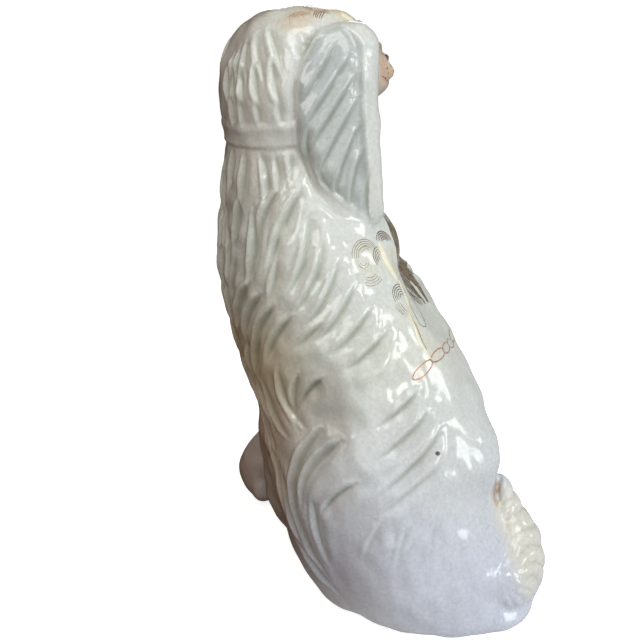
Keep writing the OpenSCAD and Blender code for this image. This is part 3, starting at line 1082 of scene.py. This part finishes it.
# ---- materials
class Nodes:
    """A node tree; calls add nodes and return their output socket."""

    def __init__(self, tree, coordinate):
        self.t = tree
        self.place = self.node("TexCoord").outputs[coordinate]

    def node(self, kind, **settings):
        n = self.t.nodes.new("ShaderNode" + kind)
        for k, v in settings.items():
            setattr(n, k, v)
        return n

    def plug(self, socket, value):
        if isinstance(value, bpy.types.NodeSocket):
            self.t.links.new(value, socket)
        elif isinstance(value, tuple) and len(value) == 3 and socket.type == "RGBA":
            socket.default_value = (*value, 1)
        else:
            socket.default_value = value

    def noise(self, scale, detail=3, rough=0.5):
        n = self.node("TexNoise")
        self.plug(n.inputs["Vector"], self.place)
        for k, v in (("Scale", scale), ("Detail", detail), ("Roughness", rough)):
            n.inputs[k].default_value = v
        return n.outputs["Fac"]

    def cells(self, scale, feature="F1"):
        n = self.node("TexVoronoi", feature=feature)
        self.plug(n.inputs["Vector"], self.place)
        n.inputs["Scale"].default_value = scale
        return n.outputs["Distance"]

    def ramp(self, value, *stops):
        """Linear ramp; stops are (position, number or colour)."""
        n = self.node("ValToRGB")
        self.plug(n.inputs[0], value)
        e = n.color_ramp.elements
        while len(e) < len(stops):
            e.new(0.5)
        for el, (pos, v) in zip(e, stops):
            el.position = pos
            el.color = (*v, 1) if isinstance(v, tuple) else (v, v, v, 1)
        return n.outputs[0]

    def math(self, op, a, b=0.0, c=None):
        n = self.node("Math", operation=op)
        self.plug(n.inputs[0], a)
        self.plug(n.inputs[1], b)
        if c is not None:
            self.plug(n.inputs[2], c)
        return n.outputs[0]

    def mix(self, fac, a, b, kind="MIX"):
        n = self.node("Mix", data_type="RGBA", blend_type=kind)
        for i, value in ((0, fac), (6, a), (7, b)):
            self.plug(n.inputs[i], value)
        return n.outputs[2]

    def toward(self, direction, scale, offset):
        """How far a place lies in a direction, scaled and offset."""
        n = self.node("VectorMath", operation="DOT_PRODUCT")
        self.plug(n.inputs[0], self.place)
        n.inputs[1].default_value = direction
        return self.math("MULTIPLY_ADD", n.outputs["Value"], scale, offset)

    def seen(self):
        return self.node("LightPath").outputs["Is Camera Ray"]


class Mat(Nodes):
    """A Principled material."""

    def __init__(self, name):
        self.m = bpy.data.materials.new(name)
        self.m.use_nodes = True
        super().__init__(self.m.node_tree, "Object")
        self.bsdf = self.t.nodes["Principled BSDF"]

    def attribute(self, name):
        return self.node("Attribute", attribute_name=name)

    def bump(self, height, strength, distance, normal=None):
        n = self.node("Bump")
        self.plug(n.inputs["Height"], height)
        n.inputs["Strength"].default_value = strength
        n.inputs["Distance"].default_value = distance
        if normal:
            self.plug(n.inputs["Normal"], normal)
        return n.outputs[0]

    def finish(self, **sockets):
        for k, v in sockets.items():
            self.plug(self.bsdf.inputs[k.replace("_", " ")], v)
        return self.m


def glaze():
    """Crazed lead glaze over white earthenware, pooled in the hollows of the fur and darkened there as
    painted shade.
    """
    m = Mat("white_glaze")
    recess = m.attribute("recess").outputs["Fac"]
    wash_and_shade = m.attribute("wash_and_shade")
    body_tone = m.ramp(m.noise(14, 2), (0.3, (0.745, 0.775, 0.785)), (0.7, (0.80, 0.81, 0.755)))
    cloud = m.mix(m.math("MULTIPLY", m.noise(55, 4, 0.6), 0.5), body_tone, (0.70, 0.715, 0.72))
    mottle = m.ramp(m.noise(480, 3, 0.6), (0.38, (0.90, 0.90, 0.89)), (0.62, (1.0, 1.0, 1.0)))
    cloud = m.mix(1.0, cloud, mottle, "MULTIPLY")
    # Pooled glaze, darkened further as painted shade in the grooves of the fur
    pooled_and_shaded = m.mix(m.math("MULTIPLY", recess, 0.75), cloud, (0.42, 0.44, 0.36))
    craze = m.ramp(m.cells(210, "DISTANCE_TO_EDGE"), (0.0, 1.0), (0.028, 0.0))
    craze = m.math("MULTIPLY", craze, m.ramp(m.noise(18), (0.38, 0.06), (0.65, 0.34)))
    crazed = m.mix(craze, pooled_and_shaded, (0.36, 0.33, 0.28))
    speck = m.ramp(m.cells(95), (0.035, 1.0), (0.06, 0.0))
    speck = m.math("MULTIPLY", speck, m.ramp(m.noise(40), (0.62, 0.0), (0.66, 0.7)))
    specked = m.mix(speck, crazed, (0.16, 0.14, 0.12))
    painted = m.mix(wash_and_shade.outputs["Alpha"], specked, wash_and_shade.outputs["Color"], "MULTIPLY")
    ripple = m.bump(m.noise(330, 2), 0.12, 0.0004)
    normal = m.bump(m.math("SUBTRACT", m.noise(70, 3), m.math("MULTIPLY", craze, 0.4)), 0.2, 0.0008, ripple)
    return m.finish(Base_Color=painted, Roughness=m.ramp(m.noise(60), (0.3, 0.09), (0.7, 0.2)),
                    Normal=normal, Coat_Weight=0.5, Coat_Roughness=0.04, Specular_IOR_Level=0.5)


def bare_clay():
    """Buff biscuit clay, thumbed and gritty."""
    m = Mat("bare_clay")
    tone = m.ramp(m.noise(30, 4), (0.3, (0.55, 0.47, 0.36)), (0.7, (0.68, 0.60, 0.49)))
    grit = m.mix(m.ramp(m.cells(500), (0.05, 0.8), (0.15, 0.0)), tone, (0.30, 0.22, 0.15))
    return m.finish(Base_Color=grit, Roughness=0.85, Normal=m.bump(m.noise(400, 4, 0.7), 0.5, 0.0006))


def enamel(name, dark, light, rough, metal=0.0):
    """Fired-on colour, thin and streaky from the brush."""
    m = Mat(name)
    tone = m.ramp(m.noise(260, 4, 0.65), (0.35, dark), (0.65, light))
    thin = m.mix(m.ramp(m.noise(900, 3), (0.60, 0.0), (0.75, 0.5)), tone, (0.70, 0.66, 0.58))
    gloss = m.ramp(m.noise(300), (0.3, rough), (0.7, rough + 0.15))
    return m.finish(Base_Color=thin, Metallic=metal, Roughness=gloss,
                    Normal=m.bump(m.noise(700, 3), 0.15, 0.0002), Coat_Weight=0.3, Coat_Roughness=0.06)


GLAZE, CLAY = glaze(), bare_clay()
GILT = enamel("gilding", (0.62, 0.40, 0.14), (0.86, 0.62, 0.28), 0.2, 0.85)
for name in ("base_slab", "back_seam_roll", "chest_seam_roll", "head_seam_roll"):
    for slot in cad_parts[name].material_slots:
        slot.material = CLAY


# ---- stage and light
TABLE, TABLE_FAR = (0.66, 0.67, 0.68), (0.10, 0.045, 0.018)
ROOM, ROOM_FAR = (0.60, 0.62, 0.62), (0.15, 0.078, 0.032)
GLOW = 0.82  # of the table as the camera sees it
BACKDROP = 1.8  # of the room as the camera sees it
ROOM_LIGHT = 0.62


def stage_material():
    """Pale table, near white to the eye, with a warm dark stretch beyond the figure's back side."""
    m = Mat("pale_table")
    shade = m.ramp(m.toward((0.22, 0.97, 0), 5.0, 0.2), (0.35, TABLE), (0.60, TABLE_FAR))
    seen = m.seen()
    tone = m.mix(seen, shade, m.ramp(m.noise(3, 2), (0.3, 0.80), (0.7, 0.84)))
    glow = m.mix(seen, m.math("MULTIPLY", shade, 0.15), (GLOW, GLOW, GLOW))
    return m.finish(Base_Color=tone, Roughness=0.9, Specular_IOR_Level=0.1,
                    Emission_Color=glow, Emission_Strength=1.0)


floor = make("floor", [(-30, -30, 0), (30, -30, 0), (30, 30, 0), (-30, 30, 0)], [(0, 1, 2, 3)])
floor.data.materials.append(stage_material())

# Rectangular lights: direction from the figure's middle, distance, size (m), radiance, colour
LIGHTS = {
    "window": ((-0.79, -0.58, 0.17), 1.5, (0.24, 0.66), 6.2, (0.93, 0.97, 0.98)),
    "flank_window": ((-0.47, -0.85, 0.20), 1.5, (0.30, 0.26), 6.2, (0.93, 0.97, 0.98)),
    "cream": ((-0.87, -0.24, 0.40), 1.5, (0.28, 0.26), 7.5, (1.0, 0.99, 0.92)),
    "top": ((-0.50, -0.32, 1.0), 1.5, (0.9, 0.9), 2.7, (1.0, 0.99, 0.95)),
    "back_fill": ((-0.92, 0.20, 0.34), 1.6, (1.0, 1.0), 1.0, (1.0, 1.0, 0.98)),
    "nape_fill": ((-0.20, 0.30, 0.31), 0.475, (0.20, 0.20), 3.5, (1.0, 1.0, 0.98)),
    "chest_window": ((0.93, -0.36, 0.30), 1.5, (0.5, 0.5), 2.4, (0.94, 0.97, 1.0)),
    "warm_bounce": ((0.10, 0.95, 0.10), 0.9, (0.45, 0.45), 0.30, (1.0, 0.50, 0.20)),
    "back_lamp": ((0.2, 0.88, 0.42), 1.5, (0.20, 0.34), 2.2, (1.0, 0.84, 0.62)),
}
LIT = Vector((0, 0, 0.17))  # where the lights point


def area(name, toward, distance, size, radiance, color):
    data = bpy.data.lights.new(name, "AREA")
    data.shape = "RECTANGLE"
    data.size, data.size_y = size
    data.energy = radiance * pi * size[0] * size[1]
    data.color = color
    ob = add(name, data)
    ob.location = LIT + Vector(toward).normalized() * distance
    ob.rotation_euler = (LIT - ob.location).to_track_quat("-Z", "Y").to_euler()


def room():
    """Even pale room light that falls off to warm brown behind the figure's back side."""
    world = bpy.data.worlds.new("room")
    world.use_nodes = True
    w = Nodes(world.node_tree, "Generated")
    light = w.ramp(w.toward((0.62, 0.75, -0.25), 0.5, 0.5), (0.34, ROOM), (0.58, ROOM_FAR))
    back = w.t.nodes["Background"]
    w.plug(back.inputs[0], w.mix(w.seen(), light, (BACKDROP, BACKDROP, BACKDROP)))
    back.inputs[1].default_value = ROOM_LIGHT
    bpy.context.scene.world = world


for name, light in LIGHTS.items():
    area(name, *light)
room()
bpy.context.scene.view_settings.view_transform = "Standard"


# ---- keep the pieces, give them materials and attach them
keep = set(pieces.values()) | {floor, locket} | set(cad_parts.values())
for ob in [o for o in bpy.context.scene.objects if o.type == "MESH" and o not in keep]:
    drop(ob)
for name, ob in pieces.items():
    ob.data.materials.clear()
    ob.data.materials.append(GLAZE)
    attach(ob, "root")
    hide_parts(name)
locket.data.materials.append(GILT)
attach(locket, "root")
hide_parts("locket")
# The painted work: dark and light streaks, roughness, metallic
lustre.made(enamel("bronze_lustre", (0.11, 0.075, 0.045), (0.30, 0.23, 0.14), 0.2, 0.35), WARE)
pale.made(enamel("pale_lustre", (0.26, 0.21, 0.14), (0.46, 0.41, 0.31), 0.2, 0.2), WARE)
yellow.made(enamel("yellow_enamel", (0.90, 0.82, 0.56), (0.95, 0.91, 0.74), 0.25), WARE)
black.made(enamel("black_enamel", (0.02, 0.016, 0.012), (0.06, 0.05, 0.04), 0.15), WARE)
red.made(enamel("red_enamel", (0.30, 0.03, 0.02), (0.48, 0.07, 0.04), 0.2), WARE)
amber.made(enamel("amber_enamel", (0.42, 0.20, 0.04), (0.66, 0.38, 0.10), 0.12), WARE)
copper.made(enamel("copper_lustre", (0.36, 0.16, 0.08), (0.60, 0.33, 0.18), 0.22, 0.45), METAL)
gilt.made(GILT, METAL)
